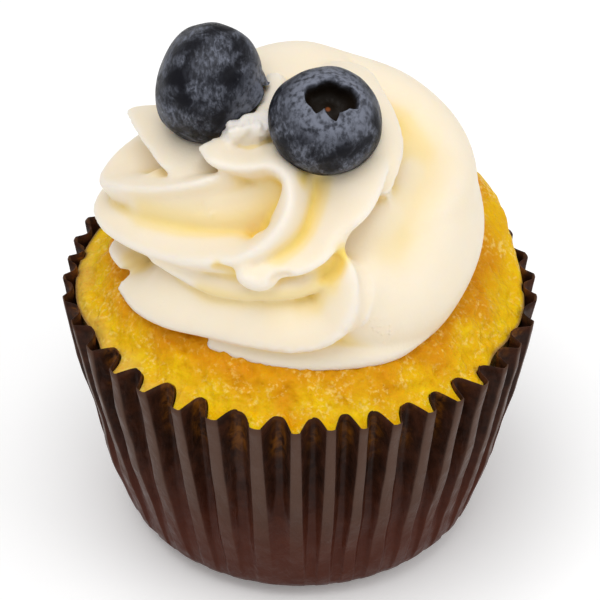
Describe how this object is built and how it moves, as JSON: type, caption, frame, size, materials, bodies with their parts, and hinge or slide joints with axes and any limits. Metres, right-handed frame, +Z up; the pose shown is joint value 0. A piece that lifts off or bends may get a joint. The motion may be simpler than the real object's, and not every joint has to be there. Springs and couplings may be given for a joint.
{
  "type": "cupcake",
  "caption": "Vanilla cupcake in a dark pleated paper case, with a folded swirl of cream frosting and dark blue berries on top",
  "frame": {"origin": "centre of the case's flat base, on the surface it stands on", "axes": "+Z up through the frosting, -Y the front that the picture shows, +X to the right in the picture"},
  "size_m": [0.069, 0.069, 0.0793],
  "materials": {
    "case_paper": "thin greaseproof paper, dark brown, satin",
    "yellow_sponge": "moist golden sponge crumb",
    "cream_frosting": "smooth satin cream",
    "berry_skin": "dark blue skin with a pale bloom"
  },
  "bodies": {
    "root": {"paper_case": "case_paper", "sponge_cake": "yellow_sponge", "frosting": "cream_frosting", "berry_left": "berry_skin", "berry_right": "berry_skin"}
  },
  "joints": []
}
